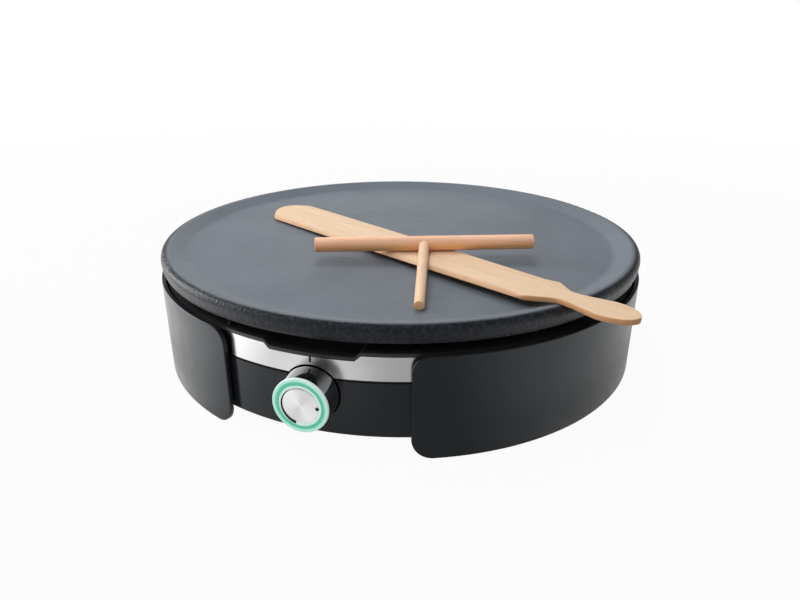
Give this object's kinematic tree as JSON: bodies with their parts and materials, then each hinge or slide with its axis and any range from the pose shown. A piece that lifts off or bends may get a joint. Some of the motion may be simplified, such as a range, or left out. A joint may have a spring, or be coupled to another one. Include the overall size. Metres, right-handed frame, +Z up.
{
  "type": "electric crepe maker",
  "caption": "Round electric crepe maker with a dished non-stick plate, curved side panels, a lit rotary thermostat knob, and a wooden spatula and batter spreader.",
  "frame": {"origin": "on the worktop under the plate's centre", "axes": "+Z up; -Y towards the user, where the knob is; +X to the user's right"},
  "size_m": [0.3512, 0.3713, 0.096],
  "materials": {
    "plate_coating": "satin grey non-stick coating on a cast plate",
    "element_sheath": "dark annealed tube",
    "zinc_steel": "zinc plated",
    "black_steel": "black oxide",
    "reflector_sheet": "bright coated sheet",
    "deck_plastic": "moulded, semi gloss",
    "base_plastic": "moulded, polished black",
    "cover_plastic": "moulded, fine texture",
    "band_steel": "bright, fine circumferential grain",
    "panel_plastic": "high gloss dark grey",
    "foot_rubber": "soft moulded",
    "gland_rubber": "soft moulded",
    "knob_chrome": "polished",
    "knob_pale": "pale translucent rim",
    "light_guide": "green translucent light guide",
    "knob_white": "white moulded",
    "knob_aluminium": "spun face",
    "thermostat_resin": "moulded resin",
    "brass": "turned",
    "copper": "drawn copper",
    "board_green": "solder resist",
    "lamp_lens": "clear lens",
    "terminal_resin": "cream moulded",
    "fuse_case": "plain",
    "beech": "fine sanded"
  },
  "bodies": {
    "cooker": {"base_cover": "cover_plastic", "base_housing": "base_plastic", "bracket_screws": "zinc_steel", "bulb_clips": "zinc_steel", "capillary_tube": "copper", "clamp_screws": "zinc_steel", "cord_clamp": "cover_plastic", "cord_cradle": "cover_plastic", "cord_gland": "gland_rubber", "cover_screws": "zinc_steel", "cradle_screws": "zinc_steel", "deck_ring": "deck_plastic", "deck_screws": "black_steel", "element_clamps": "zinc_steel", "fuse_clip": "zinc_steel", "heat_reflector": "reflector_sheet", "heating_element": "element_sheath", "hot_plate": "plate_coating", "knob_well": "base_plastic", "led_board": "board_green", "led_lamps": "lamp_lens", "panel_screws": "zinc_steel", "plate_nuts": "zinc_steel", "plate_spacers": "black_steel", "plate_studs": "zinc_steel", "rubber_feet": "foot_rubber", "sensor_bulb": "copper", "side_panel_left": "panel_plastic", "side_panel_right": "panel_plastic", "steel_band": "band_steel", "terminal_block": "terminal_resin", "terminal_inserts": "brass", "thermal_fuse": "fuse_case", "thermostat_body": "thermostat_resin", "thermostat_bracket": "zinc_steel", "thermostat_nut": "brass"},
    "knob": {"knob_shaft": "zinc_steel", "knob_core": "knob_white", "knob_cap": "knob_aluminium", "knob_light_ring": "light_guide", "knob_bezel": "knob_pale", "knob_sleeve": "knob_chrome"},
    "spatula": {"spatula": "beech"},
    "spreader": {"spreader_bar": "beech", "spreader_handle": "beech"}
  },
  "joints": [
    {"name": "knob_turn", "type": "hinge", "parent": "cooker", "child": "knob", "pos_m": [0, -0.17, 0.0375], "axis": [0, -1, 0], "range_deg": [-165, 91]},
    {"name": "spatula_draw", "type": "slide", "parent": "cooker", "child": "spatula", "axis": [0.8656, -0.5005, 0.0169], "range_m": [0, 0.12]},
    {"name": "spreader_lift", "type": "slide", "parent": "cooker", "child": "spreader", "axis": [0, 0, 1], "range_m": [0, 0.12]}
  ]
}
